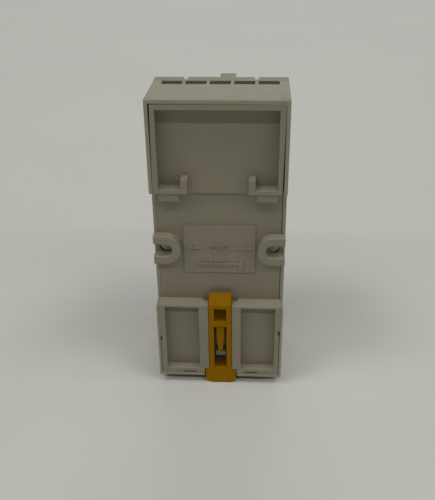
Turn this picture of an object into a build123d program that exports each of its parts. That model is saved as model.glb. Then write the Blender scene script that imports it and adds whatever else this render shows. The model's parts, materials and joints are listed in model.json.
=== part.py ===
from build123d import *
import os

# A compact DIN-rail electricity meter, built as an assembly of separate pieces, in millimetres.
#
# +Z is up, the display looks along -Y and the rail side looks along +Y. The origin is on the table,
# under the middle of the whole meter. "Depth" means the distance from the flat rear face towards
# the display, so a depth of 0 is the plane that touches a panel.

os.makedirs("parts", exist_ok=True)

# ------------------------------------------------------------------ driving sizes
body_width = 40.5
body_top = 97.15
tab_drop = 2.9  # the rear of the case stands this far above the clip's tab
front_depth = 50.0  # the display face
button_proud = 1.0

wall = 1.1
lower_wall = 0.8
edge_radius = 0.3
entry_floor = 3.3  # thickness of the floor that the supply wires pass through
seam = 0.15

channel_bottom, channel_top = 30.5, 69.15  # the rail channel across the back
channel_depth = 5.0
recess_depth = 4.2
rail_stop = 67.8  # the rail's upper edge butts here

block_top, block_bottom = 76.0, 29.5  # the deep display block
upper_depth = 20.15  # side walls of the upper terminal zone
lower_depth = 33.7  # side walls of the lower terminal zone
cover_depth = 24.9  # outer face of the upper cover
lower_cover_depth = 38.2
cover_wall = 1.3

ear_spacing, ear_height = 33.0, 49.4
ear_radius, ear_slot = 4.75, 2.1
shaft_radius = 3.6  # the driver's way in from the front
shaft_start = 6.75

upper_pitch, upper_poles = 7.17, 5
lower_pitch, lower_poles = 9.3, 4
clip_offset = -0.2  # the clip sits a hair to one side in its guides

half = body_width / 2
inner = half - wall
lower_inner = half - lower_wall
rear_y = (front_depth + button_proud) / 2
upper_terminals = [upper_pitch * (i - (upper_poles - 1) / 2) for i in range(upper_poles)]
lower_terminals = [lower_pitch * (i - (lower_poles - 1) / 2) for i in range(lower_poles)]
upper_hinge = (23.3, 79.2)  # depth and height of the cover's pins
lower_hinge = (36.6, 26.6)


# ------------------------------------------------------------------ shared shapes
def y_at(depth):
    """The y of a plane this deep behind the rear face."""
    return rear_y - depth


def face_plane(depth):
    """A sketch plane parallel to the rear face, with its normal towards the display."""
    return Plane.XZ.offset(-y_at(depth))


def side_polygon(*points):
    """An outline in the side view, from (depth, height) corners."""
    return Polygon(*[(y_at(depth), z) for depth, z in points], align=None)


def brick(x, depth, z, mode=Mode.ADD):
    """A box between two sides, two depths and two heights."""
    middle = ((x[0] + x[1]) / 2, y_at((depth[0] + depth[1]) / 2), (z[0] + z[1]) / 2)
    with Locations(middle):
        Box(x[1] - x[0], depth[1] - depth[0], z[1] - z[0], mode=mode)


def around(x, half_width):
    """The two sides of something centred on x."""
    return (x - half_width, x + half_width)


def rod(x, z, depth, radius, mode=Mode.ADD):
    """A round bar that runs from front to back."""
    with Locations(Location((x, y_at((depth[0] + depth[1]) / 2), z), (90, 0, 0))):
        Cylinder(radius, depth[1] - depth[0], mode=mode)


def cross_rod(depth, z, x, radius, mode=Mode.ADD):
    """A round bar that runs from side to side."""
    with Locations(Location(((x[0] + x[1]) / 2, y_at(depth), z), (0, 90, 0))):
        Cylinder(radius, x[1] - x[0], mode=mode)


def pillar(x, depth, z, radius, mode=Mode.ADD):
    """A round bar that stands upright."""
    with Locations((x, y_at(depth), (z[0] + z[1]) / 2)):
        Cylinder(radius, z[1] - z[0], mode=mode)


def shaft_shape(radius, reach=half, mode=Mode.ADD):
    """The two U shapes, open to the sides, that surround the fixing screws."""
    for side in (-1, 1):
        with Locations((side * ear_spacing / 2, ear_height)):
            Circle(radius, mode=mode)
        with Locations((side * (ear_spacing / 2 + reach) / 2, ear_height)):
            Rectangle(reach - ear_spacing / 2, 2 * radius, mode=mode)
        if mode == Mode.ADD:
            with Locations((side * (reach + radius), ear_height)):
                Rectangle(2 * radius, 2 * radius, mode=Mode.SUBTRACT)


def pan_screw(x, z, shank, head, shank_radius, head_radius, slot=True):
    """A screw with its head towards the display; the two depth ranges meet under the head."""
    rod(x, z, shank, shank_radius)
    rod(x, z, head, head_radius)
    if slot:
        cut = (head[1] - 0.45 * (head[1] - head[0]), head[1] + 1)
        brick(around(x, head_radius + 1), cut, around(z, 0.16 * head_radius), Mode.SUBTRACT)
        brick(around(x, 0.16 * head_radius), cut, around(z, head_radius * 0.75), Mode.SUBTRACT)


# ------------------------------------------------------------------ outer case
with BuildPart() as housing:
    with BuildSketch(Plane.YZ):
        side_polygon(
            (0, channel_top),
            (0, body_top),
            (upper_depth, body_top),
            (upper_depth, block_top),
            (front_depth, block_top),
            (front_depth, block_bottom),
            (lower_depth, block_bottom),
            (lower_depth, 0),
            (6.0, 0),
            (6.0, tab_drop),
            (0, tab_drop),
            (0, channel_bottom),
            (channel_depth, channel_bottom),
            (channel_depth, channel_top),
        )
    extrude(amount=half, both=True)
    # rounder front edges, then softened moulded edges along both side outlines and the rear of the top
    fillet(housing.edges().filter_by(Axis.X).group_by(Axis.Y)[0], 0.8)
    rear_top_edge = housing.edges().filter_by(Axis.X).group_by(Axis.Z)[-1].sort_by(Axis.Y)[-1]
    fillet([*housing.faces().filter_by(Axis.X).edges(), rear_top_edge], edge_radius)
    # lugs that carry the two cover hinges
    with BuildSketch(Plane.YZ):
        for depth, z in (upper_hinge, lower_hinge):
            with Locations((y_at(depth), z)):
                Circle(1.9)
            side_polygon((depth - 4, z - 1.9), (depth, z - 1.9), (depth, z + 1.9), (depth - 4, z + 1.9))
    extrude(amount=half, both=True)
    # the hollow behind the upper terminals and the display
    with BuildSketch(Plane.YZ):
        side_polygon(
            (-1, body_top - wall - 0.05),
            (upper_hinge[0] + 3, body_top - wall - 0.05),
            (upper_hinge[0] + 3, block_top),
            (upper_depth - 1.2, block_top),
            (upper_depth - 1.2, block_top - wall),
            (front_depth + 1, block_top - wall),
            (front_depth + 1, block_bottom + wall),
            (-1, block_bottom + wall),
        )
    extrude(amount=inner, both=True, mode=Mode.SUBTRACT)
    # the hollow of the lower terminals
    with BuildSketch(Plane.YZ):
        side_polygon(
            (-1, block_bottom + wall),
            (-1, tab_drop + wall),
            (6.0 + wall, tab_drop + wall),
            (6.0 + wall, wall),
            (lower_hinge[0] + 3, wall),
            (lower_hinge[0] + 3, block_bottom),
            (lower_depth - 1.5, block_bottom),
            (lower_depth - 1.5, block_bottom + wall),
        )
    extrude(amount=lower_inner, both=True, mode=Mode.SUBTRACT)
    # wire openings, above and below
    for x in upper_terminals:
        brick(around(x, 3.1), (16.5, upper_depth + 1), (body_top - 3, body_top + 1), Mode.SUBTRACT)
    brick((-lower_inner, lower_inner), (18.4, 27.0), (wall / 2, entry_floor))
    for x in lower_terminals:
        brick(around(x, 3.5), (19.7, 25.7), (-1, entry_floor + 1), Mode.SUBTRACT)
    # U-shaped shafts that let a driver reach the two fixing screws from the front
    with BuildSketch(face_plane(shaft_start)):
        shaft_shape(shaft_radius + 1.0)
    extrude(amount=front_depth - shaft_start)
    with BuildSketch(face_plane(shaft_start)):
        shaft_shape(shaft_radius, reach=half + 1)
    extrude(amount=front_depth - shaft_start + 1, mode=Mode.SUBTRACT)
    # ledges for the front panel
    ledge = 2.4
    ledge_low = (block_bottom + wall, block_bottom + wall + ledge)
    ledge_high = (block_top - wall - ledge, block_top - wall)
    for x in ((-inner, -inner + ledge), (inner - ledge, inner)):
        for z in (ledge_low, ledge_high):
            brick(x, (46.2, 47.65), z)
    # the clip's way out, hinge holes and the small ejector mark on the top
    brick(around(clip_offset, 5.45), (-1, 5.3), (tab_drop - 1, tab_drop + wall + 1), Mode.SUBTRACT)
    for depth, z in (upper_hinge, lower_hinge):
        cross_rod(depth, z, (-half - 1, half + 1), 0.85, Mode.SUBTRACT)
    pillar(-18.4, 1.75, (body_top - 0.12, body_top + 1), 0.7, Mode.SUBTRACT)
housing.part.label = "housing"
export_step(housing.part, "parts/housing.step")

# ------------------------------------------------------------------ rear base
frame_half = 19.1
lean = 0.42  # the base sits a little out of square in the case
recess_half = 17.4
recess_top = 94.25
shelf_top = 70.4
post = (8.9, 10.9)
lower_half = 19.4
side_gap = 0.14  # extra play of the lower frame under its two latches
pocket_depth = 3.0
floor = 1.6
board_depth = 8.9  # rear face of the main board
board_thickness = 1.6
board_posts = [(x, z) for x in (-16.6, 16.6) for z in (41.0, 58.0)]
clip_half, wing_half, tab_half = 3.68, 5.4, 5.15
wing_depth = (3.9, 4.9)
shoulder, tab_thickness = 5.7, 3.0
nose_top = 33.8
field_proud, sign_proud = 0.4, 0.4  # the raised field on the channel floor and its signs

with BuildPart() as rear_base:
    # the frame round the upper recess, open at the bottom between the two posts
    with BuildSketch(face_plane(0)):
        Polygon(
            (-frame_half + lean, channel_top),
            (-frame_half, body_top - wall - 0.05),
            (frame_half - lean, body_top - wall - 0.28),
            (frame_half, channel_top),
            align=None,
        )
        with Locations((0, (shelf_top + recess_top) / 2)):
            Rectangle(2 * recess_half, recess_top - shelf_top, mode=Mode.SUBTRACT)
        with Locations((0, channel_top)):
            Rectangle(2 * post[0], 20, mode=Mode.SUBTRACT)
        for side in (-1, 1):
            with Locations((side * sum(post) / 2, channel_top + 2.2)):
                Rectangle(post[1] - post[0], 4.4)
    extrude(amount=recess_depth)
    floor_sides = (-frame_half + lean, frame_half - lean)
    brick(floor_sides, (recess_depth, recess_depth + floor), (rail_stop, body_top - 1.6))
    # two fixed hooks that hold the rail's upper flange
    for side in (-1, 1):
        middle = side * 14.4
        brick(around(middle, 3.0), (0.5, 3.8), (66.7, channel_top + 0.5))
    # the floor of the rail channel
    channel_sides = (lean / 3 - frame_half, frame_half)
    brick(channel_sides, (channel_depth, channel_depth + floor), (channel_bottom - 1, rail_stop + 0.8))
    # U-shaped ears for two panel screws, each over a round hole through the floor
    with BuildSketch(face_plane(1.7)):
        shaft_shape(ear_radius)
        shaft_shape(ear_slot, reach=half + 1, mode=Mode.SUBTRACT)
    extrude(amount=channel_depth - 1.7)
    fillet(rear_base.edges().filter_by_position(Axis.Y, y_at(1.71), y_at(1.69)), edge_radius)
    for side in (-1, 1):
        rod(side * ear_spacing / 2, ear_height, (0, 9), ear_slot, Mode.SUBTRACT)
    # the lower frame, with notches where the case latches into it
    lower_floor = tab_drop + wall + 0.1
    with BuildSketch(face_plane(0)):
        Polygon(
            (-lower_half, channel_bottom),
            (lower_half, channel_bottom),
            (lower_half, 18.4),
            (lower_half - side_gap, 18.4),
            (lower_half - side_gap, lower_floor),
            (-lower_half + side_gap, lower_floor),
            (-lower_half + side_gap, 21.4),
            (-lower_half, 21.4),
            align=None,
        )
        for x, z in ((-lower_half, 20.6), (lower_half, 17.6)):
            with Locations((x, z)):
                Rectangle(1.1, 1.6, mode=Mode.SUBTRACT)
    extrude(amount=channel_depth + floor)
    # two pockets and the slits of the bottom latches
    for x in ((-17.8, -6.85), (6.65, 17.5)):
        brick(x, (-1, pocket_depth), (5.8, 29.9), Mode.SUBTRACT)
        slit = around(sum(x) / 2 * 0.83, 2.1)
        brick(slit, (-1, 3.4), (lower_floor - 0.1, lower_floor + 0.6), Mode.SUBTRACT)
    # the clip's guide: a slot as wide as its body, a wider one for its wings, room for its tab
    body_way = around(clip_offset, clip_half + seam)
    wing_way = around(clip_offset, wing_half + seam)
    tab_way = around(clip_offset, tab_half + seam)
    brick(body_way, (-1, channel_depth + 0.05), (0, 40), Mode.SUBTRACT)
    brick(wing_way, (wing_depth[0] - seam, wing_depth[1] + seam), (0, 40), Mode.SUBTRACT)
    brick(tab_way, (-1, tab_thickness + 0.2), (0, shoulder + seam), Mode.SUBTRACT)
    # the bar inside the clip's long window, which the clip's spring tongue bears on
    brick(around(clip_offset, 1.7), (2.4, channel_depth + 0.1), (9.7, 11.6))
    # a raised field with plain signs for two screws at a fixed spacing
    brick(around(0, 11.15), (channel_depth - field_proud, channel_depth), (40.4, 57.0))
    with BuildSketch(face_plane(channel_depth - field_proud - sign_proud)):
        for side in (-1, 1):
            # arrow out to the side
            with Locations((side * 7.2, 49.1)):
                Rectangle(4.8, 0.5)
            Polygon(
                (side * 10.4, 49.1),
                (side * 8.3, 50.3),
                (side * 8.3, 49.65),
                (side * 9.3, 49.1),
                (side * 8.3, 48.55),
                (side * 8.3, 47.9),
                align=None,
            )
            # the rim of a screw hole
            with Locations((side * 1.65, 49.1)):
                Circle(1.45)
                Circle(0.95, mode=Mode.SUBTRACT)
        # a pan-head screw seen from the side
        with Locations((-6.7, 43.6)):
            Rectangle(1.6, 3.4)
        with Locations((0.7, 43.6)):
            Rectangle(13.4, 0.5)
        for thread in range(8):
            with Locations((-3.0 + 1.35 * thread, 43.6)):
                Rectangle(0.5, 2.3, rotation=-14)
    extrude(amount=sign_proud + 0.05)
    # posts for the main board
    for x, z in board_posts:
        rod(x, z, (channel_depth + floor - 0.5, board_depth), 2.2)
        rod(x, z, (channel_depth + 1.0, board_depth + 1), 1.02, Mode.SUBTRACT)
rear_base.part.label = "rear_base"
export_step(rear_base.part, "parts/rear_base.step")

# ------------------------------------------------------------------ rail clip
with BuildPart() as din_clip:
    # the side view: a body with a ramped nose that snaps under the rail
    with BuildSketch(Plane.YZ.offset(clip_offset)):
        side_polygon(
            (0, shoulder - 1.0),
            (0, 30.8),
            (2.7, nose_top),
            (3.3, nose_top),
            (3.75, nose_top - 0.5),
            (wing_depth[0] + 0.1, channel_bottom - 0.3),
            (wing_depth[0] + 0.1, shoulder - 1.0),
        )
    extrude(amount=clip_half, both=True)
    nose_edges = din_clip.edges().filter_by_position(Axis.Z, channel_bottom + 0.5, nose_top + 1)
    ramp_sides = nose_edges.filter_by(Axis.X, reverse=True)
    fillet(ramp_sides.filter_by_position(Axis.Y, y_at(2.6), y_at(0.1)), 0.6)
    # wings that run in the guide
    brick(around(clip_offset, wing_half), wing_depth, (6.6, 29.6))
    # a broad finger tab with rounded lower corners
    with BuildSketch(face_plane(0)) as tab_face:
        with Locations((clip_offset, shoulder / 2)):
            Rectangle(2 * tab_half, shoulder)
        fillet(tab_face.vertices().group_by(Axis.Y)[0], 2.6)
    extrude(amount=tab_thickness)
    fillet(din_clip.edges().filter_by_position(Axis.Z, -0.01, 0.01).filter_by(Axis.X), 0.5)
    # the short window is a pocket, the long one goes right through
    brick(around(clip_offset, 1.95), (-1, 3.1), (24.65, 29.5), Mode.SUBTRACT)
    brick(around(clip_offset, 2.05), (-1, 9), (6.3, 22.65), Mode.SUBTRACT)
    # a tapering spring tongue that hangs in the long window
    with BuildSketch(face_plane(0.7)):
        Polygon(
            (clip_offset - 1.3, 23.2),
            (clip_offset + 1.3, 23.2),
            (clip_offset + 1.2, 18.3),
            (clip_offset + 0.95, 15.2),
            (clip_offset + 0.7, 12.9),
            (clip_offset - 0.7, 12.9),
            (clip_offset - 0.95, 15.2),
            (clip_offset - 1.2, 18.3),
            align=None,
        )
    extrude(amount=1.1)
din_clip.part.label = "din_clip"
export_step(din_clip.part, "parts/din_clip.step")

# ------------------------------------------------------------------ terminal covers
cheek = 1.3
cover_inner = half - cheek
arm_half = inner - seam  # the hinge arms sit between the case's lugs

with BuildPart() as upper_terminal_cover:
    with BuildSketch(Plane.YZ):
        side_polygon(
            (upper_depth + seam, body_top),
            (cover_depth, body_top),
            (cover_depth, upper_hinge[1] + 2.5),
            (upper_depth + seam, upper_hinge[1] + 2.5),
        )
    extrude(amount=half, both=True)
    with BuildSketch(Plane.YZ):
        side_polygon(
            (cover_depth - cover_wall, upper_hinge[1] + 3),
            (cover_depth, upper_hinge[1] + 3),
            (cover_depth, upper_hinge[1] - 1.2),
            (cover_depth - cover_wall, upper_hinge[1] - 1.2),
        )
    extrude(amount=arm_half, both=True)
    brick(
        (-cover_inner, cover_inner),
        (upper_depth - 1, cover_depth - cover_wall),
        (upper_hinge[1] - 2, body_top - 1.2),
        Mode.SUBTRACT,
    )
    # hinge arms with their pins
    with BuildSketch(Plane.YZ):
        with Locations((y_at(upper_hinge[0]), upper_hinge[1])):
            Circle(1.6)
        side_polygon(
            (upper_hinge[0] - 1.6, upper_hinge[1]),
            (cover_depth - 0.2, upper_hinge[1]),
            (cover_depth - 0.2, upper_hinge[1] + 3.5),
            (upper_hinge[0] - 1.6, upper_hinge[1] + 3.5),
        )
    extrude(amount=arm_half, both=True)
    brick(
        (1.25 - arm_half, arm_half - 1.25),
        (upper_hinge[0] - 4, cover_depth - cover_wall),
        (upper_hinge[1] - 4, upper_hinge[1] + 4),
        Mode.SUBTRACT,
    )
    cross_rod(*upper_hinge, (-half + 0.1, -arm_half + 0.6), 0.8)
    cross_rod(*upper_hinge, (arm_half - 0.6, half - 0.1), 0.8)
    # two notches for a seal and a finger tab on the top edge
    for x in (-10.7, 10.7):
        brick(around(x, 0.62), (22.0, cover_depth + 1), (body_top - 5, body_top + 1), Mode.SUBTRACT)
    brick(around(-1.95, 2.35), (cover_depth - 0.5, cover_depth + 4.5), (body_top - 1.3, body_top))
upper_terminal_cover.part.label = "upper_terminal_cover"
export_step(upper_terminal_cover.part, "parts/upper_terminal_cover.step")

cover_foot = 0.4  # the lower cover stays clear of the table
with BuildPart() as lower_terminal_cover:
    with BuildSketch(Plane.YZ):
        side_polygon(
            (lower_depth + seam, cover_foot),
            (lower_cover_depth, cover_foot),
            (lower_cover_depth, lower_hinge[1] - 2.5),
            (lower_depth + seam, lower_hinge[1] - 2.5),
        )
    extrude(amount=half, both=True)
    fillet(lower_terminal_cover.edges().filter_by(Axis.X).group_by(Axis.Y)[0].group_by(Axis.Z)[0], 0.8)
    skirt = (lower_cover_depth - cover_wall, lower_cover_depth)
    brick((-arm_half, arm_half), skirt, (20.0, lower_hinge[1] + 1.2))
    brick(
        (-cover_inner, cover_inner),
        (lower_depth - 1, lower_cover_depth - cover_wall),
        (cover_foot + 1.2, lower_hinge[1] + 2),
        Mode.SUBTRACT,
    )
    with BuildSketch(Plane.YZ):
        with Locations((y_at(lower_hinge[0]), lower_hinge[1])):
            Circle(1.6)
        side_polygon(
            (lower_hinge[0] - 1.6, lower_hinge[1] - 3.5),
            (lower_cover_depth - 0.2, lower_hinge[1] - 3.5),
            (lower_cover_depth - 0.2, lower_hinge[1]),
            (lower_hinge[0] - 1.6, lower_hinge[1]),
        )
    extrude(amount=arm_half, both=True)
    brick(
        (1.25 - arm_half, arm_half - 1.25),
        (lower_hinge[0] - 4, lower_cover_depth - cover_wall),
        (lower_hinge[1] - 4, lower_hinge[1] + 4),
        Mode.SUBTRACT,
    )
    cross_rod(*lower_hinge, (-half + 0.1, -arm_half + 0.6), 0.8)
    cross_rod(*lower_hinge, (arm_half - 0.6, half - 0.1), 0.8)
    # grip ribs near the lower edge
    for rib in range(4):
        brick((-7, 7), (lower_cover_depth - 0.2, lower_cover_depth + 0.5), around(3.2 + 1.5 * rib, 0.35))
lower_terminal_cover.part.label = "lower_terminal_cover"
export_step(lower_terminal_cover.part, "parts/lower_terminal_cover.step")

# ------------------------------------------------------------------ upper terminals
tag_depth = (15.0, 16.0)
screw_height = 87.0

with BuildPart() as upper_terminal_block:
    brick((-18.8, 18.8), (8.0, tag_depth[0] - 0.05), (77.6, 95.7))
    brick((-18.8, 18.8), (tag_depth[1] + 0.3, 21.1), (77.6, 78.6))
    fin_planes = [
        Plane.YZ.offset(upper_pitch * (fin - upper_poles / 2) - 0.45) for fin in range(upper_poles + 1)
    ]
    with BuildSketch(*fin_planes):
        side_polygon(
            (tag_depth[0] - 0.1, 77.6),
            (21.1, 77.6),
            (21.1, 83.2),
            (22.9, 83.2),
            (22.9, 95.7),
            (tag_depth[0] - 0.1, 95.7),
        )
    extrude(amount=0.9)
    for x in upper_terminals:
        rod(x, screw_height, (9.0, 20), 1.75, Mode.SUBTRACT)
upper_terminal_block.part.label = "upper_terminal_block"
export_step(upper_terminal_block.part, "parts/upper_terminal_block.step")

with BuildPart() as upper_contact_tags:
    for x in upper_terminals:
        brick(around(x, 2.8), tag_depth, (79.0, 94.0))
        brick(around(x, 1.0), tag_depth, (72.6, 79.5))
        brick(around(x, 1.0), (board_depth + board_thickness, tag_depth[1]), (72.6, 73.6))
        rod(x, screw_height, (14, 17), 1.55, Mode.SUBTRACT)
upper_contact_tags.part.label = "upper_contact_tags"
export_step(upper_contact_tags.part, "parts/upper_contact_tags.step")

with BuildPart() as upper_clamp_plates:
    for x in upper_terminals:
        brick(around(x, 2.85), (20.1, 20.95), around(screw_height, 2.9))
        rod(x, screw_height, (19, 22), 1.55, Mode.SUBTRACT)
upper_clamp_plates.part.label = "upper_clamp_plates"
export_step(upper_clamp_plates.part, "parts/upper_clamp_plates.step")

with BuildPart() as upper_terminal_screws:
    for x in upper_terminals:
        pan_screw(x, screw_height, (9.5, 20.95), (20.95, 22.8), 1.5, 2.85)
upper_terminal_screws.part.label = "upper_terminal_screws"
export_step(upper_terminal_screws.part, "parts/upper_terminal_screws.step")

# ------------------------------------------------------------------ lower terminals
cage_depth, cage_height = (16.7, 26.7), (8.0, 16.0)
cage_window = (17.8, 25.6)
bar_depth = (18.0, 19.5)
lower_screw_height = 12.0

with BuildPart() as lower_terminal_block:
    brick((-19.2, 19.2), (8.0, 32.0), (entry_floor + 0.1, 28.5))
    for x in lower_terminals:
        brick(around(x, 3.9), (16.4, 27.0), (6.0, 18.0), Mode.SUBTRACT)
        brick(around(x, 3.5), (19.7, 25.7), (0, 7), Mode.SUBTRACT)
        brick(around(x, 2.7), (bar_depth[0] - 0.2, bar_depth[1] + 0.2), (17, 30), Mode.SUBTRACT)
        rod(x, lower_screw_height, (26, 33), 3.2, Mode.SUBTRACT)
lower_terminal_block.part.label = "lower_terminal_block"
export_step(lower_terminal_block.part, "parts/lower_terminal_block.step")

with BuildPart() as lower_terminal_cages:
    for x in lower_terminals:
        brick(around(x, 3.7), cage_depth, cage_height)
        brick(around(x, 2.9), cage_window, (0, 30), Mode.SUBTRACT)
        rod(x, lower_screw_height, (25, 28), 2.05, Mode.SUBTRACT)
lower_terminal_cages.part.label = "lower_terminal_cages"
export_step(lower_terminal_cages.part, "parts/lower_terminal_cages.step")

with BuildPart() as lower_terminal_screws:
    for x in lower_terminals:
        pan_screw(x, lower_screw_height, (21.5, 28.6), (28.6, 30.8), 2.0, 3.0)
lower_terminal_screws.part.label = "lower_terminal_screws"
export_step(lower_terminal_screws.part, "parts/lower_terminal_screws.step")

bar_names = ("live_in_busbar", "live_out_busbar", "neutral_in_busbar", "neutral_out_busbar")
for name, x in zip(bar_names, lower_terminals):
    with BuildPart() as busbar:
        brick(around(x, 2.5), bar_depth, (8.5, 36.2))
        brick(around(x, 2.5), (board_depth + board_thickness, bar_depth[1]), (34.7, 36.2))
        fillet(busbar.edges().filter_by(Axis.X).group_by(Axis.Z)[-1].group_by(Axis.Y)[0], 1.2)
    busbar.part.label = name
    export_step(busbar.part, f"parts/{name}.step")

# ------------------------------------------------------------------ main board and what it carries
board_face = board_depth + board_thickness

with BuildPart() as main_board:
    with BuildSketch(face_plane(board_depth)):
        with Locations((0, (31.6 + 74.4) / 2)):
            Rectangle(2 * 18.6, 74.4 - 31.6)
        shaft_shape(shaft_radius + 1.5, reach=half, mode=Mode.SUBTRACT)
        with Locations(*board_posts):
            Circle(1.1, mode=Mode.SUBTRACT)
    extrude(amount=board_thickness)
main_board.part.label = "main_board"
export_step(main_board.part, "parts/main_board.step")

with BuildPart() as main_board_screws:
    for x, z in board_posts:
        pan_screw(x, z, (6.2, board_face), (board_face, board_face + 1.3), 1.0, 1.9)
main_board_screws.part.label = "main_board_screws"
export_step(main_board_screws.part, "parts/main_board_screws.step")

with BuildPart() as current_shunt:
    # two copper ears joined by a thicker resistance strip
    brick((-14.6, -11.2), (board_face, board_face + 1.2), (38.9, 42.9))
    brick((-9.0, -5.6), (board_face, board_face + 1.2), (38.9, 42.9))
    brick((-11.5, -8.7), (board_face + 0.6, board_face + 2.2), (39.2, 42.6))
current_shunt.part.label = "current_shunt"
export_step(current_shunt.part, "parts/current_shunt.step")

transformer_x = lower_terminals[2]
with BuildPart() as current_transformer:
    ring_depth = sum(bar_depth) / 2
    pillar(transformer_x, ring_depth, (29.0, 33.8), 6.4)
    fillet(current_transformer.edges().filter_by(GeomType.CIRCLE), 0.8)
    pillar(transformer_x, ring_depth, (28, 35), 3.0, Mode.SUBTRACT)
current_transformer.part.label = "current_transformer"
export_step(current_transformer.part, "parts/current_transformer.step")

with BuildPart() as latching_relay:
    brick((-6.5, 10.5), (board_face + 0.3, 26.5), (45.0, 60.0))
    fillet(latching_relay.edges().filter_by(Axis.Y), 0.6)
    for x in (-5.0, 9.0):
        for z in (47.0, 58.0):
            brick(around(x, 0.5), (board_face, board_face + 0.4), around(z, 0.4))
latching_relay.part.label = "latching_relay"
export_step(latching_relay.part, "parts/latching_relay.step")

with BuildPart() as supply_transformer:
    brick((-6.0, 6.0), (board_face, 12.4), (61.5, 71.5))
    brick((-6.0, 6.0), (20.6, 22.4), (61.5, 71.5))
    brick((-6.5, 6.5), (12.4, 20.6), (63.2, 69.8))
    fillet(supply_transformer.edges().filter_by(Axis.Y), 0.5)
supply_transformer.part.label = "supply_transformer"
export_step(supply_transformer.part, "parts/supply_transformer.step")

with BuildPart() as supply_capacitor:
    rod(14.3, 68.0, (board_face, 24.5), 3.9)
    fillet(supply_capacitor.faces().sort_by(Axis.Y)[0].edges(), 0.6)
    brick((8, 20), (24.2, 25), (67.85, 68.15), Mode.SUBTRACT)
supply_capacitor.part.label = "supply_capacitor"
export_step(supply_capacitor.part, "parts/supply_capacitor.step")

with BuildPart() as film_capacitor:
    brick((-18.0, -9.0), (board_face, 20.0), (65.5, 71.5))
    fillet(film_capacitor.edges(), 0.4)
film_capacitor.part.label = "film_capacitor"
export_step(film_capacitor.part, "parts/film_capacitor.step")

with BuildPart() as varistor:
    pillar(-10.0, 16.0, (55.5, 58.7), 3.0)
    fillet(varistor.edges().filter_by(GeomType.CIRCLE), 0.9)
    for x in (-11.5, -8.5):
        brick(around(x, 0.3), (board_face, 14.5), (56.8, 57.4))
varistor.part.label = "varistor"
export_step(varistor.part, "parts/varistor.step")

with BuildPart() as metering_chip:
    brick((-2.9, 2.9), (board_face, board_face + 1.4), (37.9, 43.7))
    for pin in range(6):
        z = 38.6 + 0.88 * pin
        brick((-3.8, 3.8), (board_face, board_face + 0.4), around(z, 0.18))
metering_chip.part.label = "metering_chip"
export_step(metering_chip.part, "parts/metering_chip.step")

with BuildPart() as signal_couplers:
    for z in (54.9, 59.6):
        brick((11.0, 14.4), (board_face, board_face + 2.2), (z, z + 4.0))
signal_couplers.part.label = "signal_couplers"
export_step(signal_couplers.part, "parts/signal_couplers.step")

# ------------------------------------------------------------------ display side
display_board_depth = 40.0
display_face = display_board_depth + board_thickness
panel_back = 47.8
panel_half = inner - seam
panel_posts = [(x, z) for x in (-16.9, 16.9) for z in (37.0, 69.5)]
button_x, button_z, button_radius = 5.5, 44.0, 2.6
window_middle = (0, 64.0)
window_width, window_height = 27.6, 17.0

with BuildPart() as front_panel:
    with BuildSketch(face_plane(panel_back)):
        with Locations((0, (block_top + block_bottom) / 2)):
            Rectangle(2 * panel_half, block_top - block_bottom - 2 * wall - 2 * seam)
        shaft_shape(shaft_radius + 1.15, reach=half, mode=Mode.SUBTRACT)
        with Locations(window_middle):
            RectangleRounded(window_width, window_height, 1.2, mode=Mode.SUBTRACT)
        with Locations((-button_x, button_z), (button_x, button_z)):
            Circle(button_radius + 0.2, mode=Mode.SUBTRACT)
        with Locations((-3.5, 50.6), (3.5, 50.6)):
            Circle(1.05, mode=Mode.SUBTRACT)
        with Locations((0, 36.6)):
            RectangleRounded(9.2, 3.6, 0.8, mode=Mode.SUBTRACT)
    extrude(amount=front_depth - panel_back)
    # a shallow field round the keys
    with BuildSketch(face_plane(front_depth - 0.3)):
        with Locations((0, button_z)):
            RectangleRounded(20.5, 8.6, 2.0)
        with Locations((-button_x, button_z), (button_x, button_z)):
            Circle(button_radius + 0.9, mode=Mode.SUBTRACT)
    extrude(amount=1, mode=Mode.SUBTRACT)
    for x, z in panel_posts:
        rod(x, z, (display_face, panel_back + 0.2), 1.8)
        rod(x, z, (display_face - 1, 46.4), 0.92, Mode.SUBTRACT)
front_panel.part.label = "front_panel"
export_step(front_panel.part, "parts/front_panel.step")

with BuildPart() as display_window:
    with BuildSketch(face_plane(46.75)):
        with Locations(window_middle):
            RectangleRounded(window_width + 1.8, window_height + 1.6, 1.2)
    extrude(amount=panel_back - 0.02 - 46.75)
    with BuildSketch(face_plane(panel_back - 0.1)):
        with Locations(window_middle):
            RectangleRounded(window_width - 0.2, window_height - 0.2, 1.1)
    extrude(amount=front_depth - 0.2 - panel_back + 0.1)
display_window.part.label = "display_window"
export_step(display_window.part, "parts/display_window.step")

with BuildPart() as lcd_panel:
    brick((-14.2, 14.2), (45.5, 46.6), (55.0, 73.0))
    brick((-14.2, 14.2), (44.4, 45.5), (54.3, 73.0))
lcd_panel.part.label = "lcd_panel"
export_step(lcd_panel.part, "parts/lcd_panel.step")

with BuildPart() as lcd_contact_strip:
    brick((-12.8, 12.8), (display_face, 44.4), (54.4, 56.0))
lcd_contact_strip.part.label = "lcd_contact_strip"
export_step(lcd_contact_strip.part, "parts/lcd_contact_strip.step")

with BuildPart() as lcd_backlight:
    brick((-13.9, 13.9), (display_face, 44.3), (56.6, 72.6))
lcd_backlight.part.label = "lcd_backlight"
export_step(lcd_backlight.part, "parts/lcd_backlight.step")

for name, x in (("scroll_button", button_x), ("set_button", -button_x)):
    with BuildPart() as button:
        rod(x, button_z, (46.9, front_depth + button_proud), button_radius)
        fillet(button.faces().sort_by(Axis.Y)[0].edges(), 0.5)
        rod(x, button_z, (46.4, 47.5), button_radius + 0.9)
    button.part.label = name
    export_step(button.part, f"parts/{name}.step")

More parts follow.
